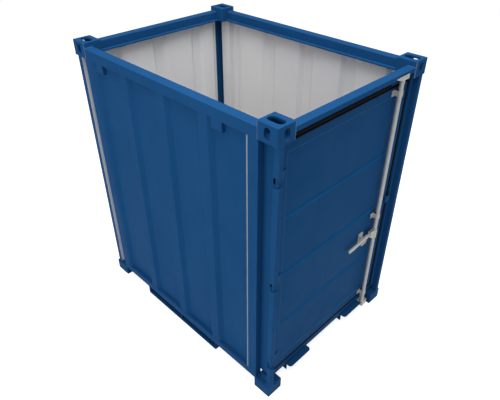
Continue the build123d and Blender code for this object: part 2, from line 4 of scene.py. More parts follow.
import bmesh
import bpy
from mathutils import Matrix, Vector


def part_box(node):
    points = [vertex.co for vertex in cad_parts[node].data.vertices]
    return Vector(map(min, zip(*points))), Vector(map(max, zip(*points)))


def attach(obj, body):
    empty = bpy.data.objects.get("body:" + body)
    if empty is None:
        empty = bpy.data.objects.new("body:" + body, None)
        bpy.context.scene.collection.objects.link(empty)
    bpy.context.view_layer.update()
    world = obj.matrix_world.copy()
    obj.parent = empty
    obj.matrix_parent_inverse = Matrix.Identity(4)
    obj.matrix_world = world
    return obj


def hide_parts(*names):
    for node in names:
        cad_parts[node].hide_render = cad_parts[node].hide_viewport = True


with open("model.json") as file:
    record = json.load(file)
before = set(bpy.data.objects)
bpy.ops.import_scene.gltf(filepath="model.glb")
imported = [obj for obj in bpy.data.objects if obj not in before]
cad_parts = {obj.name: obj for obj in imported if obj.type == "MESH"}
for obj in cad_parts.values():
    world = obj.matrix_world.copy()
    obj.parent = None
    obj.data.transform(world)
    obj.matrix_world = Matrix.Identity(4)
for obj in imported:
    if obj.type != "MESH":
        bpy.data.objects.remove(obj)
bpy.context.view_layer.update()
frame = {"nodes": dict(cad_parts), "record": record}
nodes = frame["nodes"]
record = frame["record"]

# Colours, linear
PAINT_BLUE = (0.0105, 0.0750, 0.217)
# painted light colour for the pressed swages of the door sheet
SWAGE_PAINTED_LIGHT_BLUE = (0.0085, 0.1020, 0.290)
PAINT_BLUE_PALE = (0.0130, 0.0845, 0.237)
PAINT_BLUE_DEEP = (0.0085, 0.0630, 0.190)
# painted highlight colour for the sharp edges of the blue paint
PAINT_EDGE_HIGHLIGHT = (0.060, 0.170, 0.345)
# painted highlight colour for the joint lines of the castings
JOINT_HIGHLIGHT = (0.150, 0.240, 0.390)
LINING_GREY = (0.92, 0.92, 0.92)
LINING_GREY_DIM = (0.88, 0.88, 0.885)
ZINC_PALE = (0.52, 0.52, 0.50)
ZINC_DARK = (0.38, 0.39, 0.39)
# painted highlight colour for the sharp edges of the zinc
ZINC_EDGE_HIGHLIGHT = (0.78, 0.76, 0.71)
SEALANT_GREY = (0.30, 0.36, 0.42)
SEALANT_DIM = (0.24, 0.30, 0.37)
RUBBER_BLACK = (0.007, 0.007, 0.007)
RUBBER_WORN = (0.018, 0.018, 0.017)
PLASTIC_BLACK = (0.008, 0.008, 0.008)
PLASTIC_PALE = (0.018, 0.018, 0.018)
# painted highlight: the beads are coloured paler than the sheet
BEAD_HIGHLIGHT_BLUE = (0.030, 0.118, 0.275)
BEAD_HIGHLIGHT_BLUE_PALE = (0.050, 0.155, 0.330)
PLY_PALE = (0.42, 0.27, 0.145)
PLY_DARK = (0.25, 0.145, 0.07)

# Camera, fitted to the corners of the container
CAMERA_PLACE = (-2.5701, -2.6560, 3.6403)
CAMERA_YAW = 45.0
CAMERA_PITCH = 35.264
FOCAL_PIXELS = 491.2
PICTURE_PIXELS = 500.0
SENSOR_WIDTH = 36.0

# Lights: name, place, target, size in metres and power in watts
LIGHTS = (
    ("overhead_soft_box", (-0.5, -0.5, 6.5), (0.0, 0.0, 1.2), 5.0, 255.0),
    ("camera_side_soft_box", (-4.6, -3.2, 5.6), (0.0, 0.0, 1.4), 4.5, 50.0),
    ("left_soft_box", (-6.0, 0.8, 2.0), (-0.8, 0.0, 0.6), 3.5, 68.0),
    ("door_soft_box", (0.8, -6.0, 1.2), (0.0, -1.1, 0.4), 3.5, 22.0),
)

X, Y, Z = range(3)


def span(node, axis):
    """Where a node starts and ends along an axis, in metres."""
    low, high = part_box(node)
    return round(low[axis], 5), round(high[axis], 5)


# Places taken from the solids, in metres
CASTING_INNER_X = span("casting_front_right", X)[0]
CASTING_INNER_Y = span("casting_rear_right", Y)[0]
CASTING_BOTTOM = span("casting_front_right", Z)[0]
FOOT_TOP = span("foot_front_left", Z)[1]
RAIL_TOP = span("top_rail_left", Z)[1]
BASE_RAIL_TOP = span("bottom_rail_left", Z)[1]
POST_FLANGE_END = span("rear_post_left", Y)[0]
WALL_FACE = span("side_wall_right", X)[1]
HEADER_FRONT = span("header", Y)[0]
DOOR_LEFT = span("door_stile_left", X)[0]
DOOR_BOTTOM, DOOR_TOP = span("door_stile_left", Z)
DOOR_FACE = span("door_rail_top", Y)[0]
PANEL_FACE = span("door_panel", Y)[0]
PANEL_X = span("door_panel", X)
PANEL_Z = span("door_panel", Z)
JOINTS = {joint["name"]: joint["pos_m"] for joint in record["behaviour"]["joints"]}
PIN = tuple(JOINTS["door_hinge"][:2])
BAR = tuple(JOINTS["bar_turn"][:2])
LEVER_PIN = (JOINTS["handle_lift"][X], JOINTS["handle_lift"][Z])

# Sizes inside the solids that their boxes don't show, in metres; a tube is width, depth and corner radius
TUBE = (0.040, 0.052, 0.009)
WEB_FACE = 0.747
WEB_BACK = 0.742
GROOVE_WALL = 1.048
GROOVE_END = 0.950
HINGE_LOW = (0.326, 1.178, 2.030)
SOLID_NOTCH_HEIGHT = 0.1255
PIN_BORE = 0.0101
DOOR_RIGHT = 0.671
BAR_RADIUS = 0.017
GUIDE_HEIGHTS = (0.243, 1.145, 2.238)
HEADER_STEP = 2.349
HEADER_WEB = -1.0500

# Sizes of the forms made here, in metres; CUT is how far a cutting block reaches past a face
CUT = 0.001
NOTCH_HEIGHT = 0.073
DRAIN_Y = (-1.028, -0.9505)
DRAIN_Z = (0.146, 0.190)
SHEET = 0.002
SWAGE_MIDDLES = (0.707, 1.2145, 1.722)
HEADER_FACE_LOW = 2.365


def set_outwards(mesh):
    """Turn every face of a closed mesh outwards."""
    work = bmesh.new()
    work.from_mesh(mesh)
    bmesh.ops.recalc_face_normals(work, faces=work.faces)
    work.to_mesh(mesh)
    work.free()


def add_object(name, mesh):
    piece = bpy.data.objects.new(name, mesh)
    bpy.context.scene.collection.objects.link(piece)
    return piece


def prism_points(outline, axis, low, high):
    """Points and faces of a closed block: an outline across an axis, drawn out along it."""
    order = {"X": (2, 0, 1), "Y": (0, 2, 1), "Z": (0, 1, 2)}[axis]
    count = len(outline)
    points = []
    for height in (low, high):
        for a, b in outline:
            values = (a, b, height)
            points.append(tuple(values[i] for i in order))
    faces = [tuple(range(count)), tuple(range(count, 2 * count))]
    faces += [(i, (i + 1) % count, count + (i + 1) % count, count + i) for i in range(count)]
    return points, faces


def prisms(name, blocks):
    """One object of several closed blocks, each an outline, its axis and two heights."""
    points = []
    faces = []
    for outline, axis, low, high in blocks:
        more, rings = prism_points(outline, axis, low, high)
        faces += [tuple(len(points) + i for i in ring) for ring in rings]
        points += more
    mesh = bpy.data.meshes.new(name)
    mesh.from_pydata(points, [], faces)
    set_outwards(mesh)
    return add_object(name, mesh)


def around(middle, half):
    return middle - half, middle + half


def both_sides(near, far):
    """The same span below and above zero."""
    return (-far, -near), (near, far)


def rectangle(x, y):
    return [(x[0], y[0]), (x[1], y[0]), (x[1], y[1]), (x[0], y[1])]


def block(name, x, y, z):
    return prisms(name, [(rectangle(x, y), "Z", z[0], z[1])])


def arc(centre, radius, start, turn, steps):
    """Points on an arc, angles in degrees."""
    points = []
    for i in range(steps + 1):
        angle = math.radians(start + turn * i / steps)
        points.append((centre[0] + radius * math.cos(angle), centre[1] + radius * math.sin(angle)))
    return points


def circle(centre, radius, steps=32):
    return arc(centre, radius, 0.0, 360.0, steps)[:-1]


def rounded_rectangle(centre, width, depth, radius, steps=6):
    points = []
    for sx, sy, start in ((1, 1, 0.0), (-1, 1, 90.0), (-1, -1, 180.0), (1, -1, 270.0)):
        corner = (centre[0] + sx * (width / 2 - radius), centre[1] + sy * (depth / 2 - radius))
        points += arc(corner, radius, start, 90.0, steps)
    return points


def folded(points, thickness):
    """The section of a folded plate: a line of points, made thick to its left."""
    normals = []
    for (x0, y0), (x1, y1) in zip(points, points[1:]):
        run = math.hypot(x1 - x0, y1 - y0)
        normals.append(((y0 - y1) / run, (x1 - x0) / run))
    inner = []
    for i, (x, y) in enumerate(points):
        a = normals[max(i - 1, 0)]
        b = normals[min(i, len(points) - 2)]
        scale = thickness / (1 + a[0] * b[0] + a[1] * b[1])
        inner.append((x + scale * (a[0] + b[0]), y + scale * (a[1] + b[1])))
    return list(points) + inner[::-1]


def bake(piece):
    """Apply the modifiers of a piece to its mesh."""
    view = bpy.context.evaluated_depsgraph_get()
    mesh = bpy.data.meshes.new_from_object(piece.evaluated_get(view))
    piece.modifiers.clear()
    piece.data = mesh


def carve(piece, tools, operation="DIFFERENCE"):
    """Cut tools out of a piece, or join them to it, and delete them."""
    for tool in tools:
        change = piece.modifiers.new("carve", "BOOLEAN")
        change.operation = operation
        change.solver = "EXACT"
        change.object = tool
    bake(piece)
    for tool in tools:
        bpy.data.objects.remove(tool)


def soften(piece, width, segments=2):
    """Round the sharp edges of a piece."""
    edge = piece.modifiers.new("soften", "BEVEL")
    edge.width = width
    edge.segments = segments
    edge.limit_method = "ANGLE"
    edge.angle_limit = math.radians(40.0)
    bake(piece)


def copy_of(node, name):
    """A merged copy of a node's mesh as a new piece."""
    work = bmesh.new()
    work.from_mesh(nodes[node].data)
    bmesh.ops.remove_doubles(work, verts=work.verts, dist=0.00001)
    mesh = bpy.data.meshes.new(name)
    work.to_mesh(mesh)
    work.free()
    return add_object(name, mesh)


def finish_piece(piece, material, body, replaced=()):
    piece.data.materials.clear()
    piece.data.materials.append(material)
    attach(piece, body)
    if replaced:
        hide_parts(*replaced)


def feed(tree, value, socket):
    """Link the output of a node to a socket, or give the socket a plain value."""
    if isinstance(value, bpy.types.NodeSocket):
        tree.links.new(value, socket)
    else:
        socket.default_value = value


def add_node(tree, kind, inputs, output, **settings):
    """A new node with its settings and inputs; gives back one of its outputs."""
    node = tree.nodes.new(kind)
    for name, value in settings.items():
        setattr(node, name, value)
    for name, value in inputs.items():
        feed(tree, value, node.inputs[name])
    return node.outputs[output]


def noise(tree, place, scale, detail=3.0, roughness=0.55):
    inputs = {"Vector": place, "Scale": scale, "Detail": detail, "Roughness": roughness}
    return add_node(tree, "ShaderNodeTexNoise", inputs, "Fac")


def stretched(tree, place, scale):
    """The same place, squeezed by its own factor along each axis."""
    return add_node(tree, "ShaderNodeMapping", {"Vector": place, "Scale": scale}, "Vector")


def curve_of(tree, value, low, high, out_low=0.0, out_high=1.0):
    """Spread a value from one span to another, clamped."""
    inputs = {"Value": value, "From Min": low, "From Max": high, "To Min": out_low, "To Max": out_high}
    return add_node(tree, "ShaderNodeMapRange", inputs, "Result")


def blend_colours(tree, factor, first, second):
    """Mix two colours, each a plain colour or the output of a node."""
    first, second = ((*one, 1.0) if isinstance(one, tuple) else one for one in (first, second))
    inputs = {"Factor": factor, "A": first, "B": second}
    return add_node(tree, "ShaderNodeMix", inputs, "Result", data_type="RGBA")


def vector_step(tree, operation, first, second):
    output = "Value" if operation == "DOT_PRODUCT" else "Vector"
    return add_node(tree, "ShaderNodeVectorMath", {0: first, 1: second}, output, operation=operation)


def number_step(tree, operation, first, second):
    return add_node(tree, "ShaderNodeMath", {0: first, 1: second}, "Value", operation=operation)


def distance_along(tree, place, axis):
    """Distance from the middle of the part along an axis, on either side."""
    away = vector_step(tree, "ABSOLUTE", place, (0.0, 0.0, 0.0))
    return vector_step(tree, "DOT_PRODUCT", away, axis)


def leaning(tree, place, axis):
    """How far a face looks away from the middle along an axis; below zero it looks back."""
    across = vector_step(tree, "MULTIPLY", place, axis)
    return vector_step(tree, "DOT_PRODUCT", place.node.outputs["Normal"], across)


def soft_normal(tree, radius):
    """The surface normal with its sharp edges rounded."""
    return add_node(tree, "ShaderNodeBevel", {"Radius": radius}, "Normal", samples=4)


def edge_highlight_share(tree, radius, strength):
    """How near a point lies to a sharp edge, from the bend of a softened normal; the paints use it to paint
    highlights along sharp edges.
    """
    plain = add_node(tree, "ShaderNodeNewGeometry", {}, "Normal")
    bend = vector_step(tree, "DOT_PRODUCT", soft_normal(tree, radius), plain)
    return curve_of(tree, bend, 0.98, 0.80, 0.0, strength)


def rounded_bump(tree, height, strength, distance, edge):
    """A surface normal with softened edges and a fine height on it."""
    inputs = {"Strength": strength, "Distance": distance, "Height": height, "Normal": soft_normal(tree, edge)}
    return add_node(tree, "ShaderNodeBump", inputs, "Normal")


def shader_tree(name):
    """A new material, its tree and shader, and the place that every finish starts from."""
    material = bpy.data.materials.new(name)
    material.use_nodes = True
    tree = material.node_tree
    place = add_node(tree, "ShaderNodeTexCoord", {}, "Object")
    return material, tree, tree.nodes["Principled BSDF"], place


def finish_shader(tree, shader, colour, normal, roughness, specular):
    inputs = {"Base Color": colour, "Normal": normal, "Roughness": roughness, "Specular IOR Level": specular}
    for name, value in inputs.items():
        feed(tree, value, shader.inputs[name])


def blue_colour(tree, place):
    """Blue with a broad drift in tone, faint run marks down the sheet and painted highlights along sharp
    edges.
    """
    broad = curve_of(tree, noise(tree, place, 1.6, 4.0), 0.35, 0.68)
    body = blend_colours(tree, broad, PAINT_BLUE, PAINT_BLUE_PALE)
    streaks = noise(tree, stretched(tree, place, (14.0, 14.0, 0.8)), 1.0, 4.0)
    body = blend_colours(tree, curve_of(tree, streaks, 0.56, 0.78, 0.0, 0.4), body, PAINT_BLUE_DEEP)
    # painted highlight: sharp edges are painted paler
    return blend_colours(tree, edge_highlight_share(tree, 0.004, 0.35), body, PAINT_EDGE_HIGHLIGHT)


def casting_colour(tree, place):
    """Blue with a painted highlight: a pale line down the edges where a casting meets the rails."""
    body = blue_colour(tree, place)
    for axis, other, end in (((1.0, 0.0, 0.0), (0.0, 1.0, 0.0), CASTING_INNER_X),
                             ((0.0, 1.0, 0.0), (1.0, 0.0, 0.0), CASTING_INNER_Y)):
        line = end + 0.007
        near = curve_of(tree, distance_along(tree, place, axis), line + 0.001, line - 0.001)
        facing = curve_of(tree, leaning(tree, place, other), 0.60, 0.70)
        # painted highlight: the pale line stands in for light catching the joint
        body = blend_colours(tree, number_step(tree, "MULTIPLY", near, facing), body, JOINT_HIGHLIGHT)
    return body


def lined_sheet_colour(tree, place, outwards):
    """Blue outside and pale grey inside; outwards is the axis across the sheet."""
    side = curve_of(tree, leaning(tree, place, outwards), -0.03, -0.01)
    drift = curve_of(tree, noise(tree, place, 1.2, 3.0), 0.35, 0.65)
    lining = blend_colours(tree, drift, LINING_GREY, LINING_GREY_DIM)
    return blend_colours(tree, side, lining, blue_colour(tree, place))


def swaged_sheet_colour(tree, place):
    """Blue, painted brighter where the sheet is pressed in: painted light on the swages' up-facing slopes."""
    depth = vector_step(tree, "DOT_PRODUCT", place, (0.0, 1.0, 0.0))
    sunk = curve_of(tree, depth, PANEL_FACE + 0.0004, PANEL_FACE + 0.0014)
    # painted light: the swages are tinted brighter to stand in for overhead light on their slopes
    return blend_colours(tree, sunk, blue_colour(tree, place), SWAGE_PAINTED_LIGHT_BLUE)


def rear_post_colour(tree, place):
    """Blue, with pale grey faces towards the hold, short of the end plate.

    The outer wall of the groove looks towards the hold too, so it is grey as well.
    """
    along = distance_along(tree, place, (0.0, 1.0, 0.0))
    before_plate = curve_of(tree, along, 1.080, 1.075)
    beyond_flange = curve_of(tree, along, 0.925, 0.930)
    sideways = curve_of(tree, leaning(tree, place, (1.0, 0.0, 0.0)), -0.1, -0.2)
    sideways = number_step(tree, "MULTIPLY", sideways, before_plate)
    body = blend_colours(tree, sideways, blue_colour(tree, place), LINING_GREY_DIM)
    endways = curve_of(tree, leaning(tree, place, (0.0, 1.0, 0.0)), -0.1, -0.2)
    endways = number_step(tree, "MULTIPLY", endways, before_plate)
    endways = number_step(tree, "MULTIPLY", endways, beyond_flange)
    return blend_colours(tree, endways, body, LINING_GREY_DIM)


def paint(name, colour_of, edge=0.0025, **options):
    """Paint of one colour function, with fine orange peel, soft edges and uneven gloss."""
    material, tree, shader, place = shader_tree(name)
    colour = colour_of(tree, place, **options)
    normal = rounded_bump(tree, noise(tree, place, 260.0, 2.0), 0.12, 0.0006, edge)
    gloss = curve_of(tree, noise(tree, place, 7.0, 3.0), 0.3, 0.7, 0.46, 0.58)
    finish_shader(tree, shader, colour, normal, gloss, 0.015)
    return material


def zinc():
    """Galvanised steel: pale, with faint spangle and painted highlights that brighten its sharp edges."""
    material, tree, shader, place = shader_tree("galvanised_hardware")
    cells = add_node(tree, "ShaderNodeTexVoronoi", {"Vector": place, "Scale": 110.0}, "Color")
    spangle = add_node(tree, "ShaderNodeSeparateColor", {"Color": cells}, "Red")
    crystals = blend_colours(tree, curve_of(tree, spangle, 0.0, 1.0, 0.0, 0.35), ZINC_PALE, ZINC_DARK)
    stain = curve_of(tree, noise(tree, place, 24.0, 4.0), 0.52, 0.78, 0.0, 0.5)
    body = blend_colours(tree, stain, crystals, ZINC_DARK)
    # painted highlight: sharp edges of the zinc are painted brighter
    body = blend_colours(tree, edge_highlight_share(tree, 0.0025, 0.7), body, ZINC_EDGE_HIGHLIGHT)
    normal = rounded_bump(tree, noise(tree, place, 300.0), 0.1, 0.0004, 0.0015)
    gloss = curve_of(tree, spangle.node.outputs["Green"], 0.0, 1.0, 0.36, 0.5)
    finish_shader(tree, shader, body, normal, gloss, 0.5)
    shader.inputs["Metallic"].default_value = 0.15
    return material


def rubber():
    material, tree, shader, place = shader_tree("seal_rubber")
    bloom = curve_of(tree, noise(tree, place, 30.0, 4.0), 0.5, 0.8, 0.0, 0.5)
    colour = blend_colours(tree, bloom, RUBBER_BLACK, RUBBER_WORN)
    normal = rounded_bump(tree, noise(tree, place, 500.0), 0.2, 0.0004, 0.001)
    finish_shader(tree, shader, colour, normal, 0.8, 0.06)
    return material


def black_plastic():
    material, tree, shader, place = shader_tree("bushing_plastic")
    grain = noise(tree, place, 180.0, 3.0)
    colour = blend_colours(tree, grain, PLASTIC_BLACK, PLASTIC_PALE)
    finish_shader(tree, shader, colour, rounded_bump(tree, grain, 0.15, 0.0004, 0.001), 0.5, 0.15)
    return material


def plywood():
    """Floor of broad brown boards with a fine grain along the container."""
    material, tree, shader, place = shader_tree("plywood_floor")
    grain = noise(tree, stretched(tree, place, (60.0, 2.4, 60.0)), 1.0, 6.0, 0.65)
    wood = blend_colours(tree, curve_of(tree, grain, 0.36, 0.66), PLY_PALE, PLY_DARK)
    inputs = {
        "Vector": place,
        "Color1": (1.0, 1.0, 1.0, 1.0),
        "Color2": (0.9, 0.9, 0.9, 1.0),
        "Mortar": (0.0, 0.0, 0.0, 1.0),
        "Scale": 1.0,
        "Mortar Size": 0.0025,
        "Brick Width": 0.738,
        "Row Height": 0.67,
    }
    joints = add_node(tree, "ShaderNodeTexBrick", inputs, "Color", offset=0.0)
    boards = add_node(tree, "ShaderNodeMix", {"Factor": 0.85, "A": wood, "B": joints}, "Result",
                      data_type="RGBA", blend_type="MULTIPLY")
    finish_shader(tree, shader, boards, rounded_bump(tree, grain, 0.2, 0.0008, 0.001), 0.7, 0.5)
    return material


def sealant():
    """Pale bead of sealing compound in the sheet seams."""
    material, tree, shader, place = shader_tree("seam_sealant")
    patch = curve_of(tree, noise(tree, place, 9.0, 3.0), 0.35, 0.7)
    colour = blend_colours(tree, patch, SEALANT_GREY, SEALANT_DIM)
    normal = rounded_bump(tree, noise(tree, place, 90.0), 0.3, 0.0006, 0.001)
    finish_shader(tree, shader, colour, normal, 0.55, 0.1)
    return material


def painted_seam():
    """Weld or sealing bead under a thin coat of paint, its colour paler than the sheet: a painted highlight
    along the seam.
    """
    material, tree, shader, place = shader_tree("painted_bead")
    ripple = noise(tree, place, 120.0, 2.0)
    colour = blend_colours(tree, ripple, BEAD_HIGHLIGHT_BLUE, BEAD_HIGHLIGHT_BLUE_PALE)
    finish_shader(tree, shader, colour, rounded_bump(tree, ripple, 0.35, 0.0008, 0.001), 0.5, 0.05)
    return material


PAINT = paint("container_blue_paint", blue_colour)
CASTING = paint("casting_blue_paint_with_joint_lines", casting_colour)
SIDE_WALL = paint("side_sheet_blue_outside_grey_inside", lined_sheet_colour, 0.004, outwards=(1.0, 0.0, 0.0))
REAR_WALL = paint("rear_sheet_blue_outside_grey_inside", lined_sheet_colour, 0.004, outwards=(0.0, 1.0, 0.0))
REAR_POST = paint("rear_post_blue_outside_grey_inside", rear_post_colour)
DOOR_SHEET = paint("door_sheet_blue_paint", swaged_sheet_colour)
ZINC = zinc()
RUBBER = rubber()
PLASTIC = black_plastic()
PLY = plywood()
SEALANT = sealant()
BEAD = painted_seam()

FINISH = {
    "blue_paint": PAINT,
    "wall_paint": SIDE_WALL,
    "galvanised_steel": ZINC,
    "door_rubber": RUBBER,
    "black_plastic": PLASTIC,
    "plywood_floor": PLY,
}
OWN_FINISH = {
    "rear_wall": REAR_WALL,
    "rear_post_left": REAR_POST,
    "rear_post_right": REAR_POST,
    "hinge_pins": PAINT,
}


def finish_cad_nodes():
    """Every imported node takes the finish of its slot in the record, or its own."""
    for entry in record["subparts"]:
        name = entry["node"]
        own = CASTING if name.startswith("casting_") else OWN_FINISH.get(name)
        mesh = nodes[name].data
        mesh.materials.clear()
        mesh.materials.append(own or FINISH[entry["material_slot"]])


def socket_of(tree, name):
    """The identifier of a named input of a modifier's tree."""
    for item in tree.interface.items_tree:
        if item.item_type == "SOCKET" and item.in_out == "INPUT" and item.name == name:
            return item.identifier
    raise KeyError(name)


def new_tree(name, sizes):
    """A geometry tree with named sizes and one material input."""
    tree = bpy.data.node_groups.new(name, "GeometryNodeTree")
    face = tree.interface
    face.new_socket("Geometry", in_out="INPUT", socket_type="NodeSocketGeometry")
    for size in sizes:
        face.new_socket(size, in_out="INPUT", socket_type="NodeSocketFloat")
    face.new_socket("Finish", in_out="INPUT", socket_type="NodeSocketMaterial")
    face.new_socket("Geometry", in_out="OUTPUT", socket_type="NodeSocketGeometry")
    return tree, tree.nodes.new("NodeGroupInput"), tree.nodes.new("NodeGroupOutput")


def close_tree(tree, start, end, shape):
    """Realize what was made, set its material and end the tree."""
    real = add_node(tree, "GeometryNodeRealizeInstances", {"Geometry": shape}, "Geometry")
    flat = add_node(tree, "GeometryNodeSetShadeSmooth", {"Geometry": real, "Shade Smooth": False}, "Geometry")
    inputs = {"Geometry": flat, "Material": start.outputs["Finish"]}
    feed(tree, add_node(tree, "GeometryNodeSetMaterial", inputs, "Geometry"), end.inputs["Geometry"])


def bolt_tree():
    """A hexagon head on a washer at every point, facing out of the door end."""
    sizes = ("Head Radius", "Head Height", "Washer Radius", "Washer Height")
    tree, start, end = new_tree("bolt_heads", sizes)
    parts = tree.nodes.new("GeometryNodeJoinGeometry")
    for sides, part in ((24, "Washer"), (6, "Head")):
        radius = start.outputs[part + " Radius"]
        height = start.outputs[part + " Height"]
        inputs = {"Vertices": sides, "Radius": radius, "Depth": height}
        shape = add_node(tree, "GeometryNodeMeshCylinder", inputs, "Mesh")
        half = number_step(tree, "MULTIPLY", height, -0.5)
        offset = add_node(tree, "ShaderNodeCombineXYZ", {"Y": half}, "Vector")
        inputs = {"Geometry": shape, "Translation": offset, "Rotation": (math.radians(90.0), 0.0, 0.0)}
        turned = add_node(tree, "GeometryNodeTransform", inputs, "Geometry")
        feed(tree, turned, parts.inputs["Geometry"])
    inputs = {"Points": start.outputs["Geometry"], "Instance": parts.outputs["Geometry"]}
    close_tree(tree, start, end, add_node(tree, "GeometryNodeInstanceOnPoints", inputs, "Instances"))
    return tree


def bead_tree():
    """A round bead along every line, a little uneven in thickness."""
    tree, start, end = new_tree("seam_beads", ("Bead Radius", "Step"))
    line = add_node(tree, "GeometryNodeMeshToCurve", {"Mesh": start.outputs["Geometry"]}, "Curve")
    inputs = {"Curve": line, "Length": start.outputs["Step"]}
    even = add_node(tree, "GeometryNodeResampleCurve", inputs, "Curve", mode="LENGTH")
    place = add_node(tree, "GeometryNodeInputPosition", {}, "Position")
    lumps = add_node(tree, "ShaderNodeTexNoise", {"Vector": place, "Scale": 90.0}, "Fac")
    inputs = {"Curve": even, "Radius": curve_of(tree, lumps, 0.0, 1.0, 0.75, 1.05)}
    thick = add_node(tree, "GeometryNodeSetCurveRadius", inputs, "Curve")
    inputs = {"Resolution": 8, "Radius": start.outputs["Bead Radius"]}
    ring = add_node(tree, "GeometryNodeCurvePrimitiveCircle", inputs, "Curve")
    inputs = {"Curve": thick, "Profile Curve": ring, "Fill Caps": True}
    close_tree(tree, start, end, add_node(tree, "GeometryNodeCurveToMesh", inputs, "Mesh"))
    return tree


def grown(name, tree, points, edges, sizes, material):
    """A plain mesh made by a geometry tree on points or lines."""
    mesh = bpy.data.meshes.new(name)
    mesh.from_pydata(points, edges, [])
    piece = add_object(name, mesh)
    maker = piece.modifiers.new("maker", "NODES")
    maker.node_group = tree
    for size, value in sizes.items():
        maker[socket_of(tree, size)] = value
    maker[socket_of(tree, "Finish")] = material
    bake(piece)
    return piece


def lines_of(paths):
    """Points and edges of several open paths."""
    points = []
    edges = []
    for path in paths:
        first = len(points)
        points += path
        edges += [(first + i, first + i + 1) for i in range(len(path) - 1)]
    return points, edges


def corners(path, sides=((-1, -1), (1, -1), (-1, 1), (1, 1))):
    """The same path at the corners of the container; it is drawn for positive X and Y."""
    return [[(sx * x, sy * y, z) for x, y, z in path] for sx, sy in sides]


def drain_tool(side):
    """Opening through the web of a front post, above its foot."""
    x = sorted((side * (WEB_FACE + CUT), side * (WEB_BACK - CUT)))
    return block("drain", x, DRAIN_Y, DRAIN_Z)


def rebuild_hinge_post():
    """Hinge post with low notches, each just as high as its barrel, and the drain opening at its foot."""
    post = copy_of("hinge_post", "hinge_post_notched")
    fills = []
    for low in HINGE_LOW:
        z = (low + NOTCH_HEIGHT, low + SOLID_NOTCH_HEIGHT)
        fills.append(prisms("fill", [(rounded_rectangle(PIN, *TUBE), "Z", *z)]))
        fills.append(block("fill", (-WEB_FACE, -WEB_BACK), (PIN[1] + 0.020, DRAIN_Y[0] + 0.0005), z))
    carve(post, fills, "UNION")
    stop_x = (-WEB_BACK - 0.002, span("hinge_post", X)[1] + CUT)
    stop = block("stop", stop_x, (-1.000, -0.993), (0.170, DRAIN_Z[1]))
    carve(post, [drain_tool(-1), stop])
    finish_piece(post, PAINT, "container", ["hinge_post"])


def rebuild_lock_post():
    post = copy_of("lock_post", "lock_post_with_drain")
    carve(post, [drain_tool(1)])
    finish_piece(post, PAINT, "container", ["lock_post"])


def open_floor_corners():
    """The sill's flanges and the floor deck stop short of the front posts, over the drain openings."""
    sill = copy_of("front_sill", "front_sill_cut_at_posts")
    y = (-1.029, span("front_sill", Y)[1] + CUT)
    z = (span("front_sill", Z)[0] - CUT, BASE_RAIL_TOP + 0.0005)
    carve(sill, [block("cut", around(side * 0.7165, 0.0265), y, z) for side in (-1, 1)])
    finish_piece(sill, PAINT, "container", ["front_sill"])
    deck = copy_of("floor_boards", "floor_boards_notched")
    y = (span("floor_boards", Y)[0] - CUT, -0.912)
    z = (span("floor_boards", Z)[0] - CUT, span("floor_boards", Z)[1] + CUT)
    carve(deck, [block("cut", around(side * 0.714, 0.026), y, z) for side in (-1, 1)])
    finish_piece(deck, PLY, "container", ["floor_boards"])


def build_door_sheet():
    """Door sheet with three pressed swages, steep above and sloping below."""
    half = 0.023
    sunk = PANEL_FACE + 0.011
    points = [(PANEL_FACE, PANEL_Z[0])]
    for middle in SWAGE_MIDDLES:
        top = middle + half
        points += [(PANEL_FACE, top - 2 * half), (sunk, top - 0.014), (sunk, top - 0.008), (PANEL_FACE, top)]
    points.append((PANEL_FACE, PANEL_Z[1]))
    sheet = prisms("door_sheet_swaged", [(folded(points, -SHEET), "X", *PANEL_X)])
    finish_piece(sheet, DOOR_SHEET, "door", ["door_panel"])


def at_hinges(name, outline, low, high):
    """The same upright block at each hinge, its heights measured from the foot of the notch."""
    return [prisms(name, [(outline, "Z", foot + low, foot + high)]) for foot in HINGE_LOW]


def build_hinge_leaves():
    """Barrels in the notches, each with a leaf that bends back onto the door stile."""
    thick = 0.008
    door_y = DOOR_FACE - thick
    free_y = door_y - 0.018
    bend = DOOR_LEFT + 0.015
    on_door = [(DOOR_LEFT + 0.065, door_y), (DOOR_LEFT + 0.083, door_y)]
    leaf = folded([(PIN[0], free_y), (bend, free_y)] + on_door, thick)
    leaves = prisms("hinge_leaves_bent", [(leaf, "Z", foot + 0.015, foot + 0.072) for foot in HINGE_LOW])
    cap = folded([(bend + 0.001, free_y + 0.0004)] + on_door, thick)
    carve(leaves, at_hinges("cap", cap, 0.070, 0.080), "UNION")
    carve(leaves, at_hinges("barrel", circle(PIN, 0.0120, 48), 0.001, 0.072), "UNION")
    carve(leaves, at_hinges("bore", circle(PIN, PIN_BORE, 48), 0.0, 0.090))
    soften(leaves, 0.0012)
    finish_piece(leaves, PAINT, "door", ["hinge_leaves"])


def lever_outline(end_a, radius_a, end_b, radius_b, steps=12):
    """Two round ends joined by their outer tangents."""
    along = math.degrees(math.atan2(end_b[1] - end_a[1], end_b[0] - end_a[0]))
    lean = math.degrees(math.acos((radius_a - radius_b) / math.dist(end_a, end_b)))
    far = arc(end_b, radius_b, along - lean, 2 * lean, steps)
    near = arc(end_a, radius_a, along + lean, 360.0 - 2 * lean, steps)
    return far + near


def build_handle():
    """Flat lever on the hub's pin, wider towards its free end."""
    outline = lever_outline((0.169, 0.960), 0.0175, (LEVER_PIN[0], 0.979), 0.0135)
    lever = prisms("door_handle_tapered", [(outline, "Y", *around(BAR[1], 0.0065))])
    soften(lever, 0.0016)
    finish_piece(lever, ZINC, "handle", ["door_handle"])


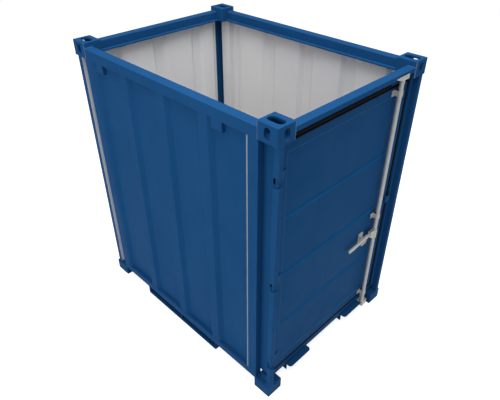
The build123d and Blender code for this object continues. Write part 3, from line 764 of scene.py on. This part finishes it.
def build_hub():
    """Clevis on the bar: a collar, two gusset cheeks and the lever's pin with a washer at each end."""
    low, high = 0.914, 1.006
    outer = LEVER_PIN[0] - 0.020
    cheek = [(0.5036, low), (0.5036, high), (outer + 0.008, high), (outer, high - 0.008), (outer, 0.958)]
    blocks = [(cheek, "Y", BAR[1] + a, BAR[1] + b) for a, b in both_sides(0.0075, 0.012)]
    blocks.append((circle(LEVER_PIN, 0.006, 24), "Y", *around(BAR[1], 0.0145)))
    washer = circle(LEVER_PIN, 0.0095, 24)
    blocks += [(washer, "Y", BAR[1] + a, BAR[1] + b) for a, b in both_sides(0.012, 0.0165)]
    hub = prisms("handle_hub_clevis", blocks)
    collar = prisms("collar", [(circle(BAR, BAR_RADIUS + 0.0045, 48), "Z", low, high)])
    carve(collar, [prisms("bore", [(circle(BAR, BAR_RADIUS + 0.0001, 48), "Z", low - 0.014, high + 0.014)])])
    carve(hub, [collar], "UNION")
    soften(hub, 0.001)
    finish_piece(hub, ZINC, "bar", ["handle_hub"])


def build_rest():
    """Bracket for the lever: a tab behind it, a shelf under it and a lug below."""
    back = PANEL_FACE
    front = PANEL_FACE - 0.005
    left, right = 0.336, 0.400
    shelf_low = 0.945
    round_tab = 0.016
    tab_top = 1.010
    tab = [(left, 0.905)]
    tab += arc((left + round_tab, tab_top), round_tab, 180.0, -90.0, 6)
    tab += arc((right - round_tab, tab_top), round_tab, 90.0, -90.0, 6)
    tab += [(right, 0.905)]
    round_lug = 0.0195
    lug_right = 0.478
    lug_z = 0.8695
    lug = arc((right + round_lug, lug_z), round_lug, 180.0, 90.0, 6)
    lug += arc((lug_right - round_lug, lug_z), round_lug, 270.0, 90.0, 6)
    lug += [(lug_right, shelf_low), (right, shelf_low)]
    shelf = block("shelf", (left, right), (-1.0885, front + 0.001), (shelf_low, shelf_low + 0.005))
    rest = prisms("handle_rest_bracket", [(tab, "Y", front, back)])
    carve(rest, [prisms("lug", [(lug, "Y", front, back)]), shelf], "UNION")
    soften(rest, 0.001)
    finish_piece(rest, ZINC, "door", ["handle_rest"])


def cut_low_keeper():
    """Low keeper whose back plate stands only beside the bar."""
    keeper = copy_of("low_keeper", "low_keeper_cut_behind_bar")
    x = (BAR[0] - 0.019, BAR[0] + 0.029)
    y = (-1.041, span("low_keeper", Y)[1] + CUT)
    carve(keeper, [block("cut", x, y, (0.1135, BASE_RAIL_TOP + CUT))])
    soften(keeper, 0.001)
    finish_piece(keeper, ZINC, "container", ["low_keeper"])


def raise_header_face():
    """Header with a shallower face band, closed below by a plate."""
    beam = copy_of("header", "header_with_shallow_face")
    cut_y = (HEADER_FRONT - CUT, HEADER_WEB - 0.0002)
    carve(beam, [block("cut", around(0.0, CASTING_INNER_X + CUT), cut_y, (HEADER_STEP, HEADER_FACE_LOW))])
    plate_z = (HEADER_FACE_LOW - 0.0002, HEADER_FACE_LOW + 0.005)
    plate = block("plate", around(0.0, CASTING_INNER_X), (HEADER_FRONT, HEADER_WEB + 0.0001), plate_z)
    carve(beam, [plate], "UNION")
    finish_piece(beam, PAINT, "container", ["header"])


def corner_points(x, z):
    return (x[0], z[0]), (x[1], z[0]), (x[1], z[1]), (x[0], z[1])


def build_seal():
    """Seal all round the door: a soft base with a lip along each edge, and laps over its top and bottom.

    The profile gives the share of the way from the door's edge outwards, and Y.
    """
    back = span("door_seal", Y)[1]
    inner_lip = ((0.0, -1.0405), (0.07, -1.0430), (0.17, -1.0430), (0.25, -1.0405), (0.30, -1.0345))
    outer_lip = ((0.64, -1.0340), (0.70, -1.0390), (0.78, -1.0420), (0.90, -1.0430), (1.0, -1.0405))
    profile = ((0.0, back), *inner_lip, *outer_lip, (1.0, back))
    inner = corner_points((DOOR_LEFT, DOOR_RIGHT), (DOOR_BOTTOM, DOOR_TOP))
    outer = corner_points(span("door_seal", X), span("door_seal", Z))
    points = []
    for (x0, z0), (x1, z1) in zip(inner, outer):
        points += [(x0 + share * (x1 - x0), y, z0 + share * (z1 - z0)) for share, y in profile]
    count = len(profile)
    faces = []
    for corner in range(4):
        for i in range(count):
            a = corner * count + i
            b = corner * count + (i + 1) % count
            c = ((corner + 1) % 4) * count
            faces.append((a, b, c + (i + 1) % count, c + i))
    mesh = bpy.data.meshes.new("door_seal_lipped")
    mesh.from_pydata(points, [], faces)
    set_outwards(mesh)
    seal = add_object("door_seal_lipped", mesh)
    left_of_bar = (-0.690, 0.430)
    right_of_bar = (0.620, 0.7015)
    top_lap = ((-1.0565, -1.0503), (2.300, 2.320))
    bottom_lap = ((-1.0463, -1.0395), (0.189, 0.2105))
    laps = [block("lap", x, *lap) for x, lap in
            ((left_of_bar, top_lap), (right_of_bar, top_lap), (left_of_bar, bottom_lap))]
    for lap in laps:
        soften(lap, 0.0015)
    carve(seal, laps, "UNION")
    finish_piece(seal, RUBBER, "door", ["door_seal"])


def add_weld_beads(tree):
    """Weld beads where posts, castings and rails meet."""
    groove = [(0.780, 1.090), (0.780, GROOVE_WALL), (WEB_FACE, GROOVE_WALL), (WEB_FACE, GROOVE_END),
              (0.795, GROOVE_END)]
    paths = []
    for z in (FOOT_TOP + 0.001, CASTING_BOTTOM - 0.001):
        paths += corners([(x, y, z) for x, y in groove])
    side = CASTING_INNER_Y
    end = CASTING_INNER_X
    top = RAIL_TOP + 0.001
    paths += corners([(0.796, side, top), (0.724, side, top)])
    front = [(end, 1.0955, 2.352), (end, 1.0955, RAIL_TOP), (end, 1.030, top)]
    paths += corners(front, ((-1, -1), (1, -1)))
    paths += corners([(end, 1.094, top), (end, 1.024, top)], ((-1, 1), (1, 1)))
    points, edges = lines_of(paths)
    # the beads' pale finish is a painted highlight along the joints
    beads = grown("weld_beads_at_corners", tree, points, edges, {"Bead Radius": 0.004, "Step": 0.006}, BEAD)
    finish_piece(beads, BEAD, "container")


def add_door_bead(tree):
    """Sealing bead all round the door sheet."""
    x = (PANEL_X[0] + 0.001, PANEL_X[1] - 0.001)
    z = (PANEL_Z[0] + 0.001, PANEL_Z[1] - 0.001)
    y = PANEL_FACE - 0.0005
    line = [(x[0], y, z[0]), (x[0], y, z[1]), (x[1], y, z[1]), (x[1], y, z[0]), (x[0], y, z[0])]
    points, edges = lines_of([line])
    sizes = {"Bead Radius": 0.0038, "Step": 0.012}
    # the bead's pale finish is a painted highlight along the edge of the door sheet
    beads = grown("door_sheet_sealing_bead", tree, points, edges, sizes, BEAD)
    finish_piece(beads, BEAD, "door")


def add_beads():
    tree = bead_tree()
    add_weld_beads(tree)
    add_door_bead(tree)


def add_sealant():
    """Sealant down the front end of each side sheet, in the step beside the post."""
    section = [(WALL_FACE, -POST_FLANGE_END), (0.7999, -POST_FLANGE_END + 0.0005), (0.7995, -0.8535),
               (WALL_FACE, -0.8520)]
    z = (BASE_RAIL_TOP + 0.002, CASTING_BOTTOM - 0.002)
    strips = prisms("wall_end_sealant", [([(side * x, y) for x, y in section], "Z", *z) for side in (-1, 1)])
    finish_piece(strips, SEALANT, "container")


def add_bolts():
    """Bolt heads on the feet of the bar guides."""
    sizes = {"Head Radius": 0.0055, "Head Height": 0.0065, "Washer Radius": 0.0085, "Washer Height": 0.0016}
    face = DOOR_FACE - 0.004
    points = [(BAR[0] + side, face, z) for z in GUIDE_HEIGHTS for side in (-0.038, 0.038)]
    bolts = grown("guide_bolts", bolt_tree(), points, [], sizes, ZINC)
    finish_piece(bolts, ZINC, "door")


def add_camera():
    data = bpy.data.cameras.new("view_camera")
    data.lens = FOCAL_PIXELS / PICTURE_PIXELS * SENSOR_WIDTH
    data.sensor_width = SENSOR_WIDTH
    data.sensor_fit = "HORIZONTAL"
    camera = bpy.data.objects.new("view_camera", data)
    camera.location = CAMERA_PLACE
    camera.rotation_euler = (math.radians(90.0 - CAMERA_PITCH), 0.0, math.radians(-CAMERA_YAW))
    bpy.context.scene.collection.objects.link(camera)
    bpy.context.scene.camera = camera


def add_area_light(name, place, target, size, power):
    data = bpy.data.lights.new(name, "AREA")
    data.shape = "DISK"
    data.size = size
    data.energy = power
    light = bpy.data.objects.new(name, data)
    light.location = place
    aim = Vector(target) - Vector(place)
    light.rotation_euler = aim.to_track_quat("-Z", "Y").to_euler()
    bpy.context.scene.collection.objects.link(light)


def seen_by(tree, *rays):
    """One for two kinds of ray, and zero for all others."""
    path = tree.nodes.new("ShaderNodeLightPath")
    return number_step(tree, "MAXIMUM", *(path.outputs[ray] for ray in rays))


def add_floor():
    """Pale studio floor that shows white to the camera and keeps a soft shadow."""
    mesh = bpy.data.meshes.new("studio_floor")
    reach = (-12.0, 12.0)
    mesh.from_pydata([(x, y, 0.0) for x, y in rectangle(reach, reach)], [], [(0, 1, 2, 3)])
    floor = add_object("studio_floor", mesh)
    material, tree, shader, _ = shader_tree("studio_floor_white")
    shader.inputs["Base Color"].default_value = (0.8, 0.8, 0.8, 1.0)
    shader.inputs["Roughness"].default_value = 0.9
    shader.inputs["Specular IOR Level"].default_value = 0.0
    shader.inputs["Emission Color"].default_value = (1.0, 1.0, 1.0, 1.0)
    seen = seen_by(tree, "Is Camera Ray", "Is Glossy Ray")
    feed(tree, number_step(tree, "MULTIPLY", seen, 0.8), shader.inputs["Emission Strength"])
    mesh.materials.append(material)


def add_world():
    """Soft grey light from all round; the camera and see-through surfaces see white."""
    world = bpy.data.worlds.new("studio_world")
    bpy.context.scene.world = world
    world.use_nodes = True
    tree = world.node_tree
    tree.nodes.clear()
    seen = seen_by(tree, "Is Camera Ray", "Is Transmission Ray")
    inputs = {"Color": (1.0, 1.0, 1.0, 1.0), "Strength": curve_of(tree, seen, 0.0, 1.0, 0.30, 1.0)}
    background = add_node(tree, "ShaderNodeBackground", inputs, "Background")
    output = tree.nodes.new("ShaderNodeOutputWorld")
    feed(tree, background, output.inputs["Surface"])


finish_cad_nodes()
rebuild_hinge_post()
rebuild_lock_post()
open_floor_corners()
build_door_sheet()
build_hinge_leaves()
build_handle()
build_hub()
build_rest()
cut_low_keeper()
raise_header_face()
build_seal()
add_beads()
add_sealant()
add_bolts()
add_camera()
add_floor()
add_world()
for light in LIGHTS:
    add_area_light(*light)

bpy.context.scene.view_settings.view_transform = "Standard"
